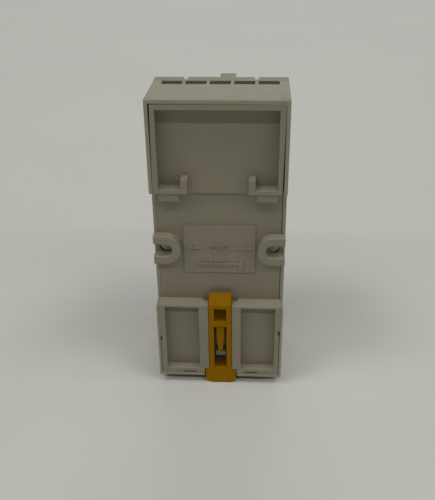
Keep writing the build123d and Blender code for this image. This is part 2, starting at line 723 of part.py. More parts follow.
with BuildPart() as button_switches:
    for x in (-button_x, button_x):
        brick(around(x, 2.6), (display_face, 44.2), around(button_z, 2.6))
        rod(x, button_z, (44.1, 45.3), 1.2)
button_switches.part.label = "button_switches"
export_step(button_switches.part, "parts/button_switches.step")

with BuildPart() as light_pipes:
    for x in (-3.5, 3.5):
        rod(x, 50.6, (44.5, front_depth), 1.0)
light_pipes.part.label = "light_pipes"
export_step(light_pipes.part, "parts/light_pipes.step")

with BuildPart() as indicator_leds:
    for x in (-3.5, 3.5):
        brick(around(x, 1.0), (display_face, 42.6), around(50.6, 0.7))
indicator_leds.part.label = "indicator_leds"
export_step(indicator_leds.part, "parts/indicator_leds.step")

with BuildPart() as infrared_window:
    with BuildSketch(face_plane(46.8)):
        with Locations((0, 36.6)):
            RectangleRounded(11.0, 5.2, 0.8)
    extrude(amount=panel_back - 0.02 - 46.8)
    with BuildSketch(face_plane(panel_back - 0.1)):
        with Locations((0, 36.6)):
            RectangleRounded(9.0, 3.4, 0.7)
    extrude(amount=front_depth - 0.1 - panel_back + 0.1)
infrared_window.part.label = "infrared_window"
export_step(infrared_window.part, "parts/infrared_window.step")

with BuildPart() as infrared_leds:
    for x in (-2.4, 2.4):
        rod(x, 36.6, (display_face, 44.6), 1.5)
        rod(x, 36.6, (display_face, 42.3), 1.8)
        fillet(infrared_leds.edges().group_by(Axis.Y)[0], 1.2)
infrared_leds.part.label = "infrared_leds"
export_step(infrared_leds.part, "parts/infrared_leds.step")

with BuildPart() as display_board:
    with BuildSketch(face_plane(display_board_depth)):
        with Locations((0, (32.0 + 74.2) / 2)):
            Rectangle(2 * 18.6, 74.2 - 32.0)
        shaft_shape(shaft_radius + 1.5, reach=half, mode=Mode.SUBTRACT)
        with Locations(*panel_posts):
            Circle(1.05, mode=Mode.SUBTRACT)
    extrude(amount=board_thickness)
display_board.part.label = "display_board"
export_step(display_board.part, "parts/display_board.step")

with BuildPart() as display_board_screws:
    for x, z in panel_posts:
        rod(x, z, (38.7, display_board_depth), 1.7)
        rod(x, z, (display_board_depth, 45.8), 0.9)
        brick(around(x, 1.2), (38, 39.2), around(z, 0.25), Mode.SUBTRACT)
        brick(around(x, 0.25), (38, 39.2), around(z, 1.2), Mode.SUBTRACT)
display_board_screws.part.label = "display_board_screws"
export_step(display_board_screws.part, "parts/display_board_screws.step")

with BuildPart() as controller_chip:
    brick((-3.5, 3.5), (38.6, display_board_depth), (46.5, 53.5))
    for pin in range(8):
        offset_z = 47.1 + 0.83 * pin
        brick((-4.4, 4.4), (39.6, display_board_depth), around(offset_z, 0.16))
controller_chip.part.label = "controller_chip"
export_step(controller_chip.part, "parts/controller_chip.step")

with BuildPart() as radio_module:
    brick((-14.0, 4.0), (39.2, display_board_depth), (56.0, 72.5))
    brick((-13.3, 3.3), (36.9, 39.2), (56.7, 69.5))
    fillet(radio_module.edges().filter_by(Axis.Y).group_by(Axis.Z)[-1], 0.2)
radio_module.part.label = "radio_module"
export_step(radio_module.part, "parts/radio_module.step")

with BuildPart() as antenna:
    # a flat strip held off the board on two legs
    brick((7.0, 16.5), (35.0, 35.4), (57.0, 69.0))
    brick((8.5, 15.0), (34.5, 36.0), (59.5, 62.0), Mode.SUBTRACT)
    brick((7.0, 13.5), (34.5, 36.0), (64.0, 66.5), Mode.SUBTRACT)
    for x in (7.5, 10.5):
        brick(around(x, 0.5), (35.0, display_board_depth), (57.0, 57.4))
antenna.part.label = "antenna"
export_step(antenna.part, "parts/antenna.step")

with BuildPart() as backup_battery:
    rod(-4.0, 38.8, (36.9, 39.3), 6.2)
    fillet(backup_battery.edges().filter_by(GeomType.CIRCLE), 0.3)
backup_battery.part.label = "backup_battery"
export_step(backup_battery.part, "parts/backup_battery.step")

with BuildPart() as battery_clip:
    brick((-11.6, 3.6), (36.3, 36.85), (37.3, 40.3))
    for x in ((-11.6, -11.0), (3.0, 3.6)):
        brick(x, (36.3, display_board_depth), (37.3, 40.3))
battery_clip.part.label = "battery_clip"
export_step(battery_clip.part, "parts/battery_clip.step")

link_pins = [9.4 + 1.27 * pin for pin in range(4)]
link_sides = (link_pins[0] - 0.9, link_pins[-1] + 0.9)
with BuildPart() as board_link_socket:
    brick(link_sides, (board_face, board_face + 8.5), (39.3, 41.8))
    for x in link_pins:
        brick(around(x, 0.36), (board_face + 2, board_face + 9), around(40.5, 0.36), Mode.SUBTRACT)
board_link_socket.part.label = "board_link_socket"
export_step(board_link_socket.part, "parts/board_link_socket.step")

with BuildPart() as board_link_header:
    brick(link_sides, (37.5, display_board_depth), (39.3, 41.8))
    for x in link_pins:
        brick(around(x, 0.3), (board_face + 4, 37.6), around(40.5, 0.3))
board_link_header.part.label = "board_link_header"
export_step(board_link_header.part, "parts/board_link_header.step")
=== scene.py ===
"""The looks of a compact rail-mounted meter: materials, printed and soldered detail, stage, light, camera."""

import json
import math
import random

import bmesh
import bpy
from mathutils import Matrix, Vector


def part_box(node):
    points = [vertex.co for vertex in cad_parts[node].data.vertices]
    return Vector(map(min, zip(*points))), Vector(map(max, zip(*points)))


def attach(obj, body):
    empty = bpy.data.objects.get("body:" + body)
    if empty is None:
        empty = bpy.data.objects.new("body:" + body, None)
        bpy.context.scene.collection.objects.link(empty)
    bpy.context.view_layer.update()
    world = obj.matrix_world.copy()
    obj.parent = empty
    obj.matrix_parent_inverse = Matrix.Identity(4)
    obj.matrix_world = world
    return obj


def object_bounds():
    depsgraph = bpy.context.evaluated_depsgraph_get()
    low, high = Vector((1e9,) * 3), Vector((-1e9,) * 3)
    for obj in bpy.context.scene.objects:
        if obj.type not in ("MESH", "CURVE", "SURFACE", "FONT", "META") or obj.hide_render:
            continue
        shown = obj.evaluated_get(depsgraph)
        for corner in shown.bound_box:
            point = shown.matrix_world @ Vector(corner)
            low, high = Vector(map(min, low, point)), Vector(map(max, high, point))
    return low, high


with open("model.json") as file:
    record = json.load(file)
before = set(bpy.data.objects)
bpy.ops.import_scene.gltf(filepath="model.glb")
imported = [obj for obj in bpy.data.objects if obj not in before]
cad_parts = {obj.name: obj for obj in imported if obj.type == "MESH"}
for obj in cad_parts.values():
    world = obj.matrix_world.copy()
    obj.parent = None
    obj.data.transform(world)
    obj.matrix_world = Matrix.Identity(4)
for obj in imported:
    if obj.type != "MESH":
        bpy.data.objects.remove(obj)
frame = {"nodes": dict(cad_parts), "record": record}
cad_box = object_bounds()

MM = 0.001
nodes = frame["nodes"]
low, high = cad_box


# ---------------------------------------------------------------- node materials
class Shader:
    """A Principled material put together node by node. Every pattern is in object space, in metres."""

    def __init__(self, name, **uniform):
        self.material = bpy.data.materials.new(name)
        self.material.use_nodes = True
        self.tree = self.material.node_tree
        self.surface = self.tree.nodes["Principled BSDF"]
        self.place = self.node("ShaderNodeTexCoord").outputs["Object"]
        for socket, value in uniform.items():
            self.surface.inputs[socket.replace("_", " ")].default_value = value

    def node(self, kind, inputs=(), **settings):
        made = self.tree.nodes.new(kind)
        for key, value in settings.items():
            setattr(made, key, value)
        for key, value in dict(inputs).items():
            if isinstance(value, bpy.types.NodeSocket):
                self.tree.links.new(value, made.inputs[key])
            else:
                made.inputs[key].default_value = value
        return made

    def noise(self, size, detail=2.0, roughness=0.5, stretch=(1, 1, 1), distortion=0.0):
        """Noise whose lumps are about size metres across, as a 0 to 1 output."""
        scaled = self.node("ShaderNodeMapping", {"Vector": self.place, "Scale": [s / size for s in stretch]})
        made = self.node(
            "ShaderNodeTexNoise",
            {
                "Vector": scaled.outputs[0],
                "Scale": 1.0,
                "Detail": detail,
                "Roughness": roughness,
                "Distortion": distortion,
            },
        )
        return made.outputs["Fac"]

    def span(self, value, from_low, from_high, to_low=0.0, to_high=1.0):
        """value moved from one range to another, clamped."""
        made = self.node(
            "ShaderNodeMapRange",
            {
                "Value": value,
                "From Min": from_low,
                "From Max": from_high,
                "To Min": to_low,
                "To Max": to_high,
            },
        )
        return made.outputs[0]

    def math(self, operation, a, b=0.0):
        return self.node("ShaderNodeMath", {0: a, 1: b}, operation=operation).outputs[0]

    def dot(self, a, b):
        return self.node("ShaderNodeVectorMath", {0: a, 1: b}, operation="DOT_PRODUCT").outputs["Value"]

    def mix(self, factor, a, b):
        made = self.node("ShaderNodeMix", data_type="RGBA", blend_type="MIX")
        for key, value in ((0, factor), (6, a), (7, b)):
            if isinstance(value, bpy.types.NodeSocket):
                self.tree.links.new(value, made.inputs[key])
            else:
                made.inputs[key].default_value = value if key == 0 else (*value, 1.0)[:4]
        return made.outputs[2]

    def rounded(self, radius):
        """The normal with every edge rounded to radius."""
        return self.node("ShaderNodeBevel", {"Radius": radius}, samples=6).outputs[0]

    def edges(self, normal):
        """0 on the flats and up to 1 at the edges, from how far the rounded normal leans."""
        flat = self.node("ShaderNodeNewGeometry").outputs["Normal"]
        return self.span(self.dot(normal, flat), 0.995, 0.86)

    def facing(self, axis):
        """The size of the true normal's part along an axis."""
        flat = self.node("ShaderNodeNewGeometry").outputs["True Normal"]
        return self.math("ABSOLUTE", self.dot(flat, axis))

    def upward(self):
        """0 on walls and up to 1 on faces that look up, in the object's own axes."""
        own = self.node("ShaderNodeTexCoord").outputs["Normal"]
        return self.span(self.node("ShaderNodeSeparateXYZ", {0: own}).outputs[2], 0.45, 0.95)

    def bump(self, height, strength, distance, normal=None):
        inputs = {"Height": height, "Strength": strength, "Distance": distance}
        if normal is not None:
            inputs["Normal"] = normal
        return self.node("ShaderNodeBump", inputs).outputs[0]

    def wire(self, socket, value):
        self.tree.links.new(value, self.surface.inputs[socket])


def plastic(
    name, colour, shade, roughness=0.5, grain=0.16, wear_and_highlight=0.10, radius=0.14, soil=0.12, dust_and_top_light=0.0, **uniform
):
    """Moulded plastic: cloudy colour, spark-eroded grain, faint handling marks, edges paled partly by rubbing
    and partly as a painted highlight, and settled dusting on faces that look up, partly painted top light.

    grain and radius are in millimetres; the edge, soil and dusting amounts are how far those marks cover the
    colour.
    """
    s = Shader(name, **uniform)
    rounded = s.rounded(radius * MM)
    clouds = s.noise(24 * MM, 3.0)
    flecks = s.noise(0.5 * MM, 2.0)
    marks = s.noise(6 * MM, 4.0, 0.62, (1.0, 1.0, 0.45), 0.6)
    base = s.mix(s.span(clouds, 0.3, 0.7), colour, shade)
    base = s.mix(s.span(flecks, 0.35, 0.75, 0.0, 0.10), base, [0.72 * c for c in colour])
    base = s.mix(s.span(marks, 0.56, 0.78, 0.0, soil), base, [0.60 * c for c in shade])
    # faces that look up are lightened: partly settled dust, partly painted top light on the ledges
    dust_and_top_light_mask = s.span(s.noise(1.6 * MM, 4.0, 0.6, (0.25, 1.0, 1.0)), 0.3, 0.7, 0.6 * dust_and_top_light, dust_and_top_light)
    base = s.mix(s.math("MULTIPLY", s.upward(), dust_and_top_light_mask), base, [1.6 * c + 0.02 for c in colour])
    # edges paled partly by rubbing and partly as a painted highlight where they catch the light
    rubbed_and_highlit = s.math("MULTIPLY", s.edges(rounded), s.span(s.noise(2.2 * MM, 3.0), 0.38, 0.66, 0.25, 1.0))
    worn_and_highlit_colour = [min(1.0, 1.18 * c + 0.035) for c in colour]
    base = s.mix(s.math("MULTIPLY", rubbed_and_highlit, wear_and_highlight), base, worn_and_highlit_colour)
    s.wire("Base Color", base)
    rough = s.span(s.noise(3.5 * MM, 3.0), 0.3, 0.7, roughness - 0.05, roughness + 0.07)
    rough = s.math("SUBTRACT", rough, s.math("MULTIPLY", rubbed_and_highlit, 0.10))
    s.wire("Roughness", s.math("ADD", rough, s.span(marks, 0.5, 0.8, 0.0, -0.08)))
    swell = s.math("MULTIPLY", s.noise(1.3 * MM, 1.0), 0.6)
    grain_height = s.math("ADD", s.noise(grain * MM, 2.0, 0.55), swell)
    s.wire("Normal", s.bump(grain_height, 0.35, 0.012 * MM, rounded))
    return s.material


def metal(name, colour, shade, roughness=0.3, scratch=0.25, **uniform):
    """Plated or bare metal: cloudy tint, drawn scratches, uneven polish."""
    s = Shader(name, Metallic=1.0, **uniform)
    rounded = s.rounded(0.08 * MM)
    clouds = s.noise(2.6 * MM, 3.0)
    lines = s.noise(0.22 * MM, 3.0, 0.6, (0.12, 1.0, 1.0))
    base = s.mix(s.span(clouds, 0.32, 0.70), colour, shade)
    base = s.mix(s.math("MULTIPLY", s.edges(rounded), 0.35), base, [min(1.0, 1.12 * c) for c in colour])
    s.wire("Base Color", base)
    rough = s.span(s.noise(1.1 * MM, 3.0), 0.3, 0.75, roughness - 0.07, roughness + 0.14)
    s.wire("Roughness", s.math("ADD", rough, s.span(lines, 0.45, 0.65, 0.0, 0.08)))
    s.wire("Normal", s.bump(lines, scratch, 0.006 * MM, rounded))
    return s.material


def clear(name, tint, roughness=0.06, **uniform):
    """Clear moulded plastic with faint haze and hairline scratches."""
    s = Shader(name, Transmission_Weight=1.0, IOR=1.49, **uniform)
    s.wire("Base Color", s.mix(s.noise(8 * MM, 2.0), tint, [0.95 * c for c in tint]))
    scratches = s.noise(0.3 * MM, 3.0, 0.7, (0.05, 1.0, 1.0), 1.2)
    haze = s.span(s.noise(5 * MM, 3.0), 0.4, 0.8, roughness, roughness + 0.10)
    s.wire("Roughness", s.math("ADD", haze, s.span(scratches, 0.62, 0.72, 0.0, 0.12)))
    s.wire("Normal", s.bump(scratches, 0.08, 0.004 * MM))
    return s.material


def board(name):
    """A printed circuit board: solder mask over copper runs, plated dots, glass-fibre edges."""
    s = Shader(name, Coat_Weight=0.4, Coat_Roughness=0.12)
    mask, over_copper = (0.012, 0.075, 0.030), (0.024, 0.135, 0.052)
    plated, fibre = (0.62, 0.58, 0.50), (0.36, 0.32, 0.17)
    flat = s.node("ShaderNodeMapping", {"Vector": s.place, "Scale": (1, 0, 1)}).outputs[0]
    laid = s.node("ShaderNodeMapping", {"Vector": flat, "Rotation": (math.radians(90), 0, 0)}).outputs[0]
    tracks = {
        "Vector": laid,
        "Scale": 1 / (1.9 * MM),
        "Mortar Size": 0.16,
        "Mortar Smooth": 0.1,
        "Brick Width": 2.6,
        "Row Height": 0.62,
    }
    across = s.node("ShaderNodeTexBrick", tracks).outputs["Fac"]
    holes = {"Vector": flat, "Scale": 1 / (2.4 * MM), "Randomness": 0.35}
    dots = s.node("ShaderNodeTexVoronoi", holes).outputs["Distance"]
    pours = s.span(s.noise(7 * MM, 1.0), 0.50, 0.53)
    runs = s.math("MAXIMUM", across, pours)
    colour = s.mix(runs, mask, over_copper)
    vias = s.span(dots, 0.13, 0.10)
    colour = s.mix(vias, colour, plated)
    face = s.span(s.facing((0, 1, 0)), 0.4, 0.6)
    s.wire("Base Color", s.mix(face, fibre, colour))
    s.wire("Roughness", s.span(s.noise(1.5 * MM, 3.0), 0.3, 0.7, 0.28, 0.45))
    s.wire("Metallic", s.math("MULTIPLY", vias, face))
    height = s.math("ADD", runs, s.math("MULTIPLY", s.noise(0.35 * MM, 2.0), 0.25))
    s.wire("Normal", s.bump(height, 0.5, 0.02 * MM, s.rounded(0.06 * MM)))
    return s.material


def lcd_glass(name):
    """The grey-green reflective glass of a segment display, with its faint electrode pattern."""
    s = Shader(name, Coat_Weight=1.0, Coat_Roughness=0.04)
    cloud = s.noise(10 * MM, 2.0)
    base = s.mix(s.span(cloud, 0.3, 0.7), (0.30, 0.36, 0.25), (0.27, 0.33, 0.22))
    lines = s.noise(0.9 * MM, 1.0, 0.5, (1.0, 1.0, 0.2))
    s.wire("Base Color", s.mix(s.span(lines, 0.60, 0.66, 0.0, 0.06), base, (0.16, 0.20, 0.14)))
    s.wire("Roughness", s.span(s.noise(2 * MM, 2.0), 0.3, 0.7, 0.22, 0.32))
    s.wire("Normal", s.bump(s.noise(0.2 * MM, 2.0), 0.05, 0.004 * MM, s.rounded(0.08 * MM)))
    return s.material


finishes = {
    "case_plastic": plastic("case_plastic", (0.300, 0.286, 0.204), (0.281, 0.268, 0.190)),
    "base_plastic": plastic(
        "base_plastic", (0.262, 0.236, 0.172), (0.246, 0.221, 0.160),
        soil=0.16, dust_and_top_light=0.45,
    ),
    "cover_plastic": plastic(
        "cover_plastic", (0.222, 0.212, 0.122), (0.206, 0.197, 0.112),
        roughness=0.44,
    ),
    "clip_plastic": plastic(
        "clip_plastic", (0.315, 0.148, 0.0), (0.285, 0.132, 0.0),
        roughness=0.50, wear_and_highlight=0.16, soil=0.25, Specular_IOR_Level=0.04,
    ),
    "panel_plastic": plastic(
        "panel_plastic", (0.46, 0.45, 0.40), (0.43, 0.42, 0.37),
        roughness=0.46, grain=0.12,
    ),
    "block_plastic": plastic(
        "block_plastic", (0.060, 0.062, 0.064), (0.045, 0.047, 0.050),
        roughness=0.48, wear_and_highlight=0.3,
    ),
    "button_plastic": plastic(
        "button_plastic", (0.085, 0.105, 0.125), (0.070, 0.088, 0.106),
        roughness=0.40, wear_and_highlight=0.4,
    ),
    "infrared_plastic": plastic(
        "infrared_plastic", (0.030, 0.008, 0.010), (0.022, 0.006, 0.008),
        roughness=0.14, grain=0.6,
    ),
    "backlight_plastic": plastic(
        "backlight_plastic", (0.72, 0.74, 0.70), (0.68, 0.70, 0.66),
        roughness=0.35,
    ),
    "elastomer": plastic("elastomer", (0.50, 0.30, 0.34), (0.44, 0.24, 0.28), roughness=0.7),
    "chip_plastic": plastic(
        "chip_plastic", (0.022, 0.022, 0.024), (0.017, 0.017, 0.019),
        roughness=0.55, radius=0.08,
    ),
    "component_film": plastic("component_film", (0.50, 0.34, 0.05), (0.46, 0.30, 0.04), roughness=0.35),
    "ring_core": plastic(
        "ring_core", (0.050, 0.090, 0.200), (0.038, 0.072, 0.165),
        roughness=0.38, grain=0.3,
    ),
    "varistor_coat": plastic(
        "varistor_coat", (0.050, 0.130, 0.300), (0.040, 0.110, 0.260),
        roughness=0.3, grain=0.4,
    ),
    "capacitor_sleeve": plastic(
        "capacitor_sleeve", (0.030, 0.040, 0.070), (0.022, 0.030, 0.055),
        roughness=0.3, grain=0.5,
    ),
    "relay_case": plastic("relay_case", (0.035, 0.036, 0.038), (0.028, 0.029, 0.031), roughness=0.4),
    "ferrite": plastic(
        "ferrite", (0.040, 0.036, 0.034), (0.028, 0.026, 0.025),
        roughness=0.6, grain=0.3,
    ),
    "clear_plastic": clear("clear_plastic", (0.93, 0.95, 0.95)),
    "lens_plastic": clear("lens_plastic", (0.85, 0.30, 0.25), 0.12),
    "lcd_glass": lcd_glass("lcd_glass"),
    "circuit_board": board("circuit_board"),
    "plated_steel": metal("plated_steel", (0.62, 0.62, 0.58), (0.52, 0.53, 0.50), 0.32),
    "tinned_copper": metal("tinned_copper", (0.66, 0.64, 0.60), (0.56, 0.52, 0.47), 0.34),
    "copper_alloy": metal("copper_alloy", (0.72, 0.47, 0.25), (0.60, 0.38, 0.19), 0.30),
    "nickel_plate": metal("nickel_plate", (0.60, 0.57, 0.52), (0.52, 0.49, 0.44), 0.22),
}


def ink(name, colour, shade, roughness=0.45):
    """Printed or switched-on marks: slightly uneven cover with pale specks."""
    s = Shader(name)
    base = s.mix(s.span(s.noise(1.6 * MM, 3.0), 0.3, 0.7), colour, shade)
    specks = s.span(s.noise(0.12 * MM, 2.0), 0.62, 0.75, 0.0, 0.25)
    s.wire("Base Color", s.mix(specks, base, [min(1.0, 1.6 * c + 0.02) for c in colour]))
    s.wire("Roughness", s.span(s.noise(0.8 * MM, 2.0), 0.3, 0.7, roughness - 0.06, roughness + 0.08))
    s.wire("Normal", s.bump(s.noise(0.2 * MM, 2.0), 0.2, 0.004 * MM, s.rounded(0.02 * MM)))
    return s.material


def solder(name):
    """Bright tin-lead solder, duller where the flux has run."""
    s = Shader(name, Metallic=1.0)
    flux = s.noise(0.7 * MM, 3.0)
    s.wire("Base Color", s.mix(s.span(flux, 0.4, 0.7), (0.66, 0.66, 0.65), (0.50, 0.49, 0.45)))
    s.wire("Roughness", s.span(flux, 0.35, 0.75, 0.16, 0.42))
    s.wire("Normal", s.bump(s.noise(0.25 * MM, 2.0), 0.3, 0.01 * MM, s.rounded(0.04 * MM)))
    return s.material


for row in frame["record"]["subparts"]:
    mesh = nodes[row["node"]].data
    mesh.materials.clear()
    mesh.materials.append(finishes[row["material_slot"]])


# ---------------------------------------------------------------- printed, lit and soldered detail
def new_piece(name, mesh_builder, *materials):
    """A mesh piece on the case body. mesh_builder fills a bmesh in metres, in the part's own frame."""
    mesh = bpy.data.meshes.new(name)
    built = bmesh.new()
    mesh_builder(built)
    bmesh.ops.recalc_face_normals(built, faces=built.faces)
    built.to_mesh(mesh)
    built.free()
    for material in materials:
        mesh.materials.append(material)
    piece = bpy.data.objects.new(name, mesh)
    bpy.context.scene.collection.objects.link(piece)
    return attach(piece, "case")


def prism(built, outline, front_y, thickness):
    """A thin plate from an outline of (x, z) points in millimetres, with its face at front_y metres."""
    front = [built.verts.new((x * MM, front_y, z * MM)) for x, z in outline]
    back = [built.verts.new((x * MM, front_y + thickness * MM, z * MM)) for x, z in outline]
    built.faces.new(front)
    built.faces.new(back[::-1])
    for i in range(len(outline)):
        j = (i + 1) % len(outline)
        built.faces.new((front[i], back[i], back[j], front[j]))


def band(built, outer, inner, front_y, thickness):
    """A thin plate between two outlines of the same number of points."""
    loops = [
        [built.verts.new((x * MM, front_y + depth * MM, z * MM)) for x, z in outline]
        for outline in (outer, inner)
        for depth in (0.0, thickness)
    ]
    outer_front, outer_back, inner_front, inner_back = loops
    for i in range(len(outer)):
        j = (i + 1) % len(outer)
        for a, b in (
            (outer_front, inner_front),
            (inner_front, inner_back),
            (inner_back, outer_back),
            (outer_back, outer_front),
        ):
            built.faces.new((a[i], a[j], b[j], b[i]))


def rounded_outline(middle, width, height, radius, steps=6):
    """The corner-rounded rectangle's outline, in millimetres."""
    points = []
    for corner, (sx, sz) in enumerate(((1, 1), (-1, 1), (-1, -1), (1, -1))):
        for step in range(steps + 1):
            angle = math.radians(90 * (corner + step / steps))
            points.append((
                middle[0] + sx * (width / 2 - radius) + radius * math.cos(angle),
                middle[1] + sz * (height / 2 - radius) + radius * math.sin(angle),
            ))
    return points


def round_outline(middle, radius, steps=28):
    """A circle's outline, in millimetres."""
    turns = [2 * math.pi / steps * i for i in range(steps)]
    return [(middle[0] + radius * math.cos(a), middle[1] + radius * math.sin(a)) for a in turns]


# which bars each numeral lights: top, upper right, lower right, bottom, lower left, upper left, middle
NUMERAL_BARS = {
    "0": "1111110", "1": "0110000", "2": "1101101", "3": "1111001", "4": "0110011",
    "5": "1011011", "6": "1011111", "7": "1110000", "8": "1111111", "9": "1111011",
}


def bar_outline(start, end, width):
    """A bar between two points with pointed ends."""
    sx, sz = start
    ex, ez = end
    length = math.hypot(ex - sx, ez - sz)
    ux, uz = (ex - sx) / length, (ez - sz) / length
    nx, nz = -uz * width / 2, ux * width / 2
    tip = width / 2
    return [
        (sx, sz),
        (sx + ux * tip + nx, sz + uz * tip + nz),
        (ex - ux * tip + nx, ez - uz * tip + nz),
        (ex, ez),
        (ex - ux * tip - nx, ez - uz * tip - nz),
        (sx + ux * tip - nx, sz + uz * tip - nz),
    ]


def numeral_outlines(numeral, corner, width, height, bar, lean=0.10, gap=0.09):
    """The lit bars of one numeral whose lower left corner is at corner."""
    x0, z0 = corner
    spots = {
        "tl": (0, height), "tr": (width, height), "ml": (0, height / 2), "mr": (width, height / 2),
        "bl": (0, 0), "br": (width, 0),
    }
    bars = (("tl", "tr"), ("tr", "mr"), ("mr", "br"), ("bl", "br"), ("ml", "bl"), ("tl", "ml"), ("ml", "mr"))
    made = []
    for lit, (a, b) in zip(NUMERAL_BARS[numeral], bars):
        if lit == "0":
            continue
        (ax, az), (bx, bz) = spots[a], spots[b]
        length = math.hypot(bx - ax, bz - az)
        ux, uz = (bx - ax) / length * gap, (bz - az) / length * gap
        ends = ((ax + ux, az + uz), (bx - ux, bz - uz))
        made.append(bar_outline(*[(x0 + x + lean * z, z0 + z) for x, z in ends], bar))
    return made


glass_low, glass_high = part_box("lcd_panel")
window_low, window_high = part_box("display_window")
panel_low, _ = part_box("front_panel")
key_low, key_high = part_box("set_button")
lamp_low, lamp_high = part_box("light_pipes")
port_low, port_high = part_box("infrared_window")
glass_x = (glass_low.x + glass_high.x) / 2 / MM
glass_z = (window_low.z + window_high.z) / 2 / MM
digits_y = glass_low.y - 0.05 * MM


def display_digits(built):
    """A six-figure reading, a point, a row of pointers and a load bar."""
    pitch, width, height, bar = 3.85, 2.45, 6.0, 0.58
    left, foot = glass_x - 2.5 * pitch - width / 2 - 0.3, glass_z - height / 2 + 0.2
    for i, numeral in enumerate("004273"):
        for outline in numeral_outlines(numeral, (left + pitch * i, foot), width, height, bar):
            prism(built, outline, digits_y, 0.04)
    prism(built, round_outline((left + pitch * 5 - 0.72, foot), 0.33, 16), digits_y, 0.04)
    for i in range(3):
        x, z = glass_x - 8.0 + 8.0 * i, glass_z + 5.3
        prism(built, [(x - 0.65, z + 0.5), (x, z - 0.5), (x + 0.65, z + 0.5)], digits_y, 0.04)
    for i in range(14):
        x, z = glass_x - 9.75 + 1.5 * i, glass_z - 5.3
        leaning = [(x - 0.5, z - 0.45), (x + 0.5, z - 0.45), (x + 0.62, z + 0.45), (x - 0.38, z + 0.45)]
        prism(built, leaning, digits_y, 0.04)


def display_mask(built):
    """The dark printed border behind the display window."""
    middle = (glass_x, glass_z)
    band(
        built,
        rounded_outline(middle, 28.2, 17.8, 0.6),
        rounded_outline(middle, 24.8, 13.9, 0.9),
        glass_low.y - 0.11 * MM,
        0.03,
    )


panel_y = panel_low.y - 0.02 * MM
key_z = (key_low.z + key_high.z) / 2 / MM
lamp_x, lamp_z = lamp_high.x / MM - 1.0, (lamp_low.z + lamp_high.z) / 2 / MM
port_z = (port_low.z + port_high.z) / 2 / MM


def panel_marks(built):
    """Plain printed signs: lines round window and port, an arrow and a ring for the keys, two lamp signs."""
    thickness = 0.03

    def line_round(outer, inner):
        band(built, outer, inner, panel_y, thickness)

    def patch(outline, lift=0.0):
        prism(built, outline, panel_y - lift * MM, thickness)

    window, port = (glass_x, glass_z), (0, port_z)
    line_round(rounded_outline(window, 30.2, 19.5, 1.9), rounded_outline(window, 29.7, 19.0, 1.65))
    line_round(rounded_outline(port, 11.2, 5.3, 1.4), rounded_outline(port, 10.8, 4.9, 1.2))
    x = 12.3
    patch([(x - 0.9, key_z - 0.7), (x + 0.9, key_z - 0.7), (x, key_z + 0.9)])
    line_round(round_outline((-x, key_z), 0.95), round_outline((-x, key_z), 0.62))
    patch(round_outline((-x, key_z), 0.27, 16))
    # a pulse over one lamp
    z, line = lamp_z + 2.0, 0.22
    steps = [(-1.3, 0), (-0.6, 0), (-0.6, 0.9), (0.3, 0.9), (0.3, 0), (1.3, 0)]
    inward = (0, line, line, -line, -line, 0)
    wave = [(-lamp_x + a, z + b) for a, b in steps]
    wave += [(-lamp_x + a + inset, z + b - line) for (a, b), inset in zip(reversed(steps), reversed(inward))]
    patch(wave)
    # a ring with a stroke over the other
    over = (lamp_x, z + 0.35)
    line_round(round_outline(over, 0.62, 20), round_outline(over, 0.40, 20))
    left, right, foot, top = lamp_x - 0.11, lamp_x + 0.11, z + 0.35, z + 1.2
    patch([(left, foot), (right, foot), (right, top), (left, top)], 0.005)


lcd_ink = ink("lcd_ink", (0.020, 0.026, 0.024), (0.030, 0.038, 0.034), 0.5)
mask_ink = ink("mask_ink", (0.045, 0.048, 0.052), (0.060, 0.062, 0.066), 0.6)
sign_ink = ink("sign_ink", (0.060, 0.075, 0.095), (0.080, 0.095, 0.115), 0.5)
new_piece("display_digits", display_digits, lcd_ink)
new_piece("display_mask", display_mask, mask_ink)
new_piece("panel_marks", panel_marks, sign_ink)


def footprints(node, board_node):
    """The box round a node, or one round each screw at the corners of the board."""
    a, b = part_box(node)
    if node != board_node + "_screws":
        return [(a, b)]
    wide = 4.2 * MM
    starts = [(x, z) for x in (a.x, b.x - wide) for z in (a.z, b.z - wide)]
    return [(Vector((x, a.y, z)), Vector((x + wide, b.y, z + wide))) for x, z in starts]


def free_spots(board_node, side, count, seed, margin, reach):
    """Places on one face of a board, margin clear of each node that comes within reach of it, in metres."""
    board_low, board_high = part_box(board_node)
    face = board_low.y if side < 0 else board_high.y
    near, far = sorted((face, face + side * reach))
    shells = (board_node, "housing", "rear_base", "front_panel")
    others = [box for node in nodes if node not in shells for box in footprints(node, board_node)]
    blocked = [b for b in others if b[0].y < far and b[1].y > near]
    draw = random.Random(seed)
    grid, tries = 1.3 * MM, 4000
    # the screwdriver channels come in from both sides at this height and end here
    shaft_end, shaft_height, shaft_clear = 16.5 * MM, 49.4 * MM, 7.2 * MM
    spots = []
    for _ in range(tries):
        x = draw.uniform(board_low.x + 3 * margin, board_high.x - 3 * margin)
        z = draw.uniform(board_low.z + 3 * margin, board_high.z - 3 * margin)
        x, z = round(x / grid) * grid, round(z / grid) * grid
        beyond, above = abs(x) - shaft_end, z - shaft_height
        shaft = min(math.hypot(beyond, above), abs(above) if beyond > 0 else 1.0)
        clear_of_nodes = all(
            x < a.x - margin or x > b.x + margin or z < a.z - margin or z > b.z + margin for a, b in blocked
        )
        apart = all(math.hypot(x - p, z - q) > 2.5 * margin for p, q in spots)
        if clear_of_nodes and apart and shaft > shaft_clear:
            spots.append((x, z))
        if len(spots) == count:
            break
    return face, spots


def soft_box(built, low_corner, high_corner, bevel, material):
    """A box with softened edges, given a material slot."""
    made = bmesh.ops.create_cube(built, size=1.0)
    for v in made["verts"]:
        v.co = Vector([l + (c + 0.5) * (h - l) for c, l, h in zip(v.co, low_corner, high_corner)])
    edges = {e for v in made["verts"] for e in v.link_edges}
    grown = bmesh.ops.bevel(built, geom=list(edges), offset=bevel, segments=2, profile=0.6, affect="EDGES")
    for f in {f for v in made["verts"] if v.is_valid for f in v.link_faces} | set(grown["faces"]):
        f.material_index = material


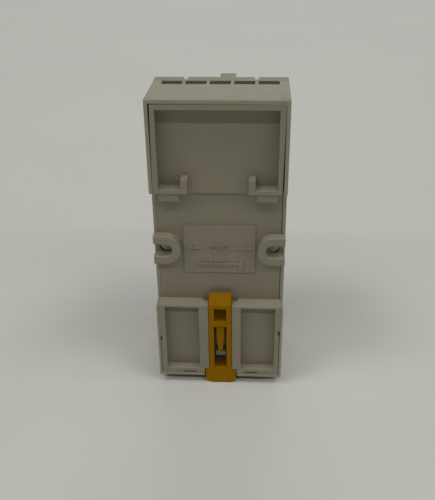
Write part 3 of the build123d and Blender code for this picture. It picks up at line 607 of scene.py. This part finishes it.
def chip_parts(board_node, side, count, seed):
    """Small chip resistors and capacitors with plated ends."""
    face, spots = free_spots(board_node, side, count, seed, 1.05 * MM, 0.9 * MM)
    draw = random.Random(seed + 1)
    # plated end, body, plated end: start and end along the length, extra size in millimetres, material
    sections = ((-0.5, -0.30, 0.015, 1), (-0.30, 0.30, 0.0, 0), (0.30, 0.5, 0.015, 1))

    def build(built):
        for x, z in spots:
            upright, tall = draw.random() < 0.5, draw.choice((0.45, 0.45, 0.75)) * MM
            length, width = 1.6 * MM, 0.8 * MM
            for start, end, grow, part in sections:
                along = (start * length, end * length)
                across = (-width / 2 - grow * MM, width / 2 + grow * MM)
                sx, sz = (across, along) if upright else (along, across)
                y0, y1 = sorted((face, face + side * (tall + grow * MM)))
                soft_box(built, (x + sx[0], y0, z + sz[0]), (x + sx[1], y1, z + sz[1]), 0.05 * MM, part)

    return build


def solder_joints(board_node, side, count, seed):
    """Small domed joints where leads come through a board."""
    face, spots = free_spots(board_node, side, count, seed, 0.9 * MM, 0.8 * MM)
    profile = ((0.62, 0.0), (0.50, 0.10), (0.34, 0.26), (0.22, 0.48), (0.16, 0.62))  # radius, height
    around = 14

    def build(built):
        for x, z in spots:
            rings = [
                [built.verts.new((x + a * MM, face + side * rise * MM, z + b * MM))
                 for a, b in round_outline((0, 0), radius, around)]
                for radius, rise in profile
            ]
            for lower, upper in zip(rings, rings[1:]):
                for i in range(around):
                    j = (i + 1) % around
                    built.faces.new((lower[i], lower[j], upper[j], upper[i]))
            built.faces.new(rings[-1])
            built.faces.new(rings[0][::-1])

    return build


chip_dark = finishes["chip_plastic"]
tin = solder("solder")
new_piece("main_board_chips", chip_parts("main_board", -1, 34, 5), chip_dark, tin)
new_piece("main_board_joints", solder_joints("main_board", 1, 40, 11), tin)
new_piece("display_board_chips", chip_parts("display_board", 1, 22, 23), chip_dark, tin)


# ---------------------------------------------------------------- stage
def stage_material():
    s = Shader("paper")
    base = s.mix(s.span(s.noise(160 * MM, 3.0), 0.3, 0.7), (0.665, 0.668, 0.62), (0.648, 0.65, 0.605))
    fibres = s.span(s.noise(0.9 * MM, 4.0), 0.3, 0.7, 0.0, 0.08)
    s.wire("Base Color", s.mix(fibres, base, (0.595, 0.597, 0.555)))
    s.wire("Roughness", s.span(s.noise(4 * MM, 2.0), 0.3, 0.7, 0.68, 0.80))
    s.wire("Normal", s.bump(s.noise(1.4 * MM, 4.0, 0.6), 0.15, 0.02 * MM))
    return s.material


def lay_floor():
    """A wide, flat sheet of pale paper under the meter."""
    reach = 3.0
    mesh = bpy.data.meshes.new("floor")
    corners = [(-reach, -reach, low.z), (reach, -reach, low.z), (reach, reach, low.z), (-reach, reach, low.z)]
    mesh.from_pydata(corners, [], [(0, 1, 2, 3)])
    floor = bpy.data.objects.new("floor", mesh)
    bpy.context.scene.collection.objects.link(floor)
    mesh.materials.append(stage_material())


lay_floor()


# ---------------------------------------------------------------- light
def soft_sun(name, azimuth, elevation, strength, spread=32):
    """A soft light from far away. Azimuth 0 is the rail side and 90 is +X; spread is its width in degrees."""
    a, e = math.radians(azimuth), math.radians(elevation)
    data = bpy.data.lights.new(name, "SUN")
    data.energy, data.angle = strength, math.radians(spread)
    data.color = (1.0, 0.995, 0.985)
    lamp = bpy.data.objects.new(name, data)
    away = Vector((-math.sin(a) * math.cos(e), -math.cos(a) * math.cos(e), -math.sin(e)))
    lamp.rotation_euler = away.to_track_quat("-Z", "Y").to_euler()
    bpy.context.scene.collection.objects.link(lamp)


def long_lamp(name, angle, start, end, power):
    """A long, thin lamp far overhead, parallel to the rail side.

    angle is its height above the horizon in degrees, 90 being straight overhead; start and end are
    where it begins and stops along X, as parts of its distance.
    """
    far, thickness = 12.0, 0.45
    a = math.radians(angle)
    data = bpy.data.lights.new(name, "AREA")
    data.energy, data.shape, data.size, data.size_y = power, "RECTANGLE", (end - start) * far, thickness
    data.color = (1.0, 0.995, 0.985)
    lamp = bpy.data.objects.new(name, data)
    lamp.location = ((start + end) / 2 * far, far * math.cos(a), far * math.sin(a))
    lamp.rotation_euler = (a - math.pi / 2, 0.0, 0.0)
    bpy.context.scene.collection.objects.link(lamp)


for lamp in (
    ("main_middle", 50, -0.6, 0.6, 305),
    ("main_left", 50, 0.6, 2.2, 350),
    ("main_right", 50, -2.2, -0.6, 400),
    ("top_middle", 90, -0.6, 0.6, 50),
    ("top_right", 90, -2.2, -0.6, 220),
    ("display_right", 110, -2.2, -0.6, 255),
):
    long_lamp(*lamp)
soft_sun("fill_top", 0, 90, 0.20, 40)
soft_sun("fill_left", 65, 60, 0.54, 20)
soft_sun("fill_right", -65, 60, 0.42, 20)
soft_sun("fill_display", 180, 35, 0.46, 40)


def pale_surround():
    """A pale studio for the camera, and very little light from it on anything else."""
    world = bpy.data.worlds.new("studio")
    world.use_nodes = True
    tree = world.node_tree
    background = tree.nodes["Background"]
    background.inputs["Color"].default_value = (0.98, 0.98, 0.92, 1)
    seen = tree.nodes.new("ShaderNodeLightPath").outputs["Is Camera Ray"]
    level = tree.nodes.new("ShaderNodeMapRange")
    level.inputs["To Min"].default_value, level.inputs["To Max"].default_value = 0.03, 0.48
    tree.links.new(seen, level.inputs["Value"])
    tree.links.new(level.outputs[0], background.inputs["Strength"])
    bpy.context.scene.world = world


pale_surround()
bpy.context.scene.view_settings.view_transform = "Standard"
bpy.context.scene.view_settings.look = "None"


# ---------------------------------------------------------------- camera
def make_camera():
    """Looks down on the rail side from behind the meter."""
    yaw, pitch, roll = (math.radians(a) for a in (-3.698, 28.348, -0.768))
    forward = Vector((-math.sin(yaw) * math.cos(pitch), -math.cos(yaw) * math.cos(pitch), -math.sin(pitch)))
    right = Vector((-math.cos(yaw), math.sin(yaw), 0.0))
    up = right.cross(forward)
    turned = Matrix.Rotation(-roll, 3, forward)
    axes = Matrix((turned @ right, turned @ up, -forward)).transposed()
    data = bpy.data.cameras.new("camera")
    data.lens, data.sensor_width = 48.78, 36.0
    data.clip_start, data.clip_end = 0.01, 20.0
    camera = bpy.data.objects.new("camera", data)
    camera.matrix_world = Matrix.Translation((-0.01135, high.y + 0.18044, low.z + 0.14851)) @ axes.to_4x4()
    bpy.context.scene.collection.objects.link(camera)
    bpy.context.scene.camera = camera


make_camera()
